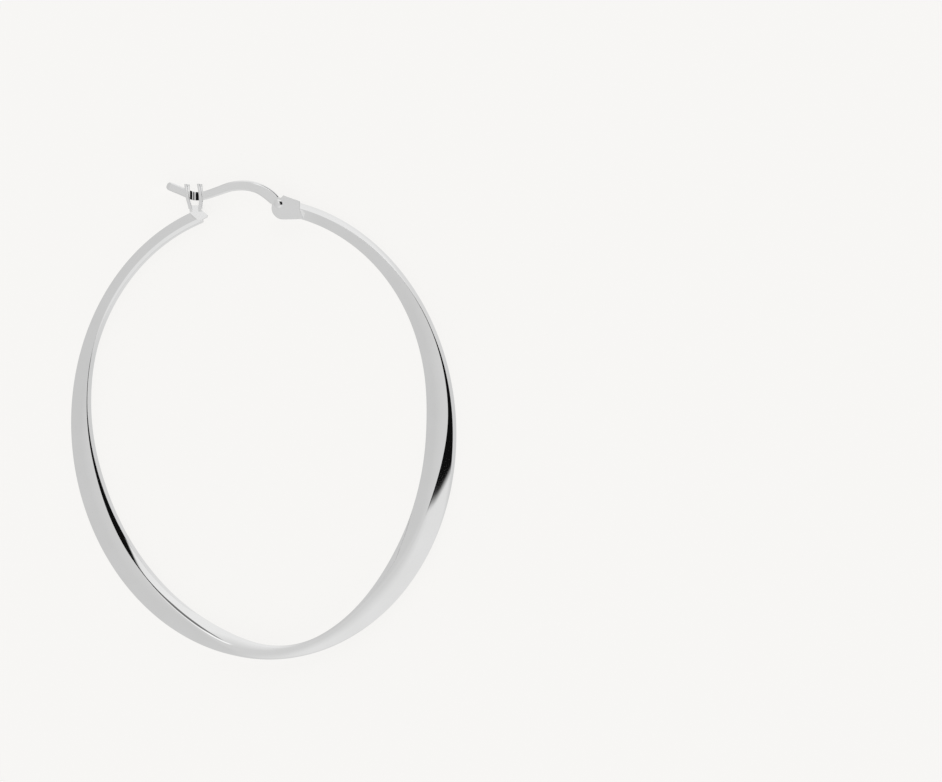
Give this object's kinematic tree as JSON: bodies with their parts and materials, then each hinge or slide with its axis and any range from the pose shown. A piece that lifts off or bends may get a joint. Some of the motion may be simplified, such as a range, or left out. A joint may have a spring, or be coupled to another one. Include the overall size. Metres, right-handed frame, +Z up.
{
  "type": "hoop earring",
  "caption": "Twisted oval hoop earring in polished silver, with an arched ear wire on a riveted hinge and a snap catch.",
  "frame": {"origin": "middle of the bounding box, on the surface that the earring lies on", "axes": "+Y towards the top of the oval, where the ear wire is; +X to the right seen from the front; +Z up, out of the front of the hoop"},
  "size_m": [0.0386, 0.0479, 0.0021],
  "materials": {
    "silver": "polished sterling silver, mirror bright"
  },
  "bodies": {
    "hoop": {"hoop": "silver", "hinge_pin": "silver"},
    "ear_wire": {"ear_wire": "silver"}
  },
  "joints": [
    {"name": "ear_wire_hinge", "type": "hinge", "parent": "hoop", "child": "ear_wire", "pos_m": [0.00145, 0.02158, 0.00095], "axis": [0, 0, -1], "range_deg": [0, 75]}
  ]
}
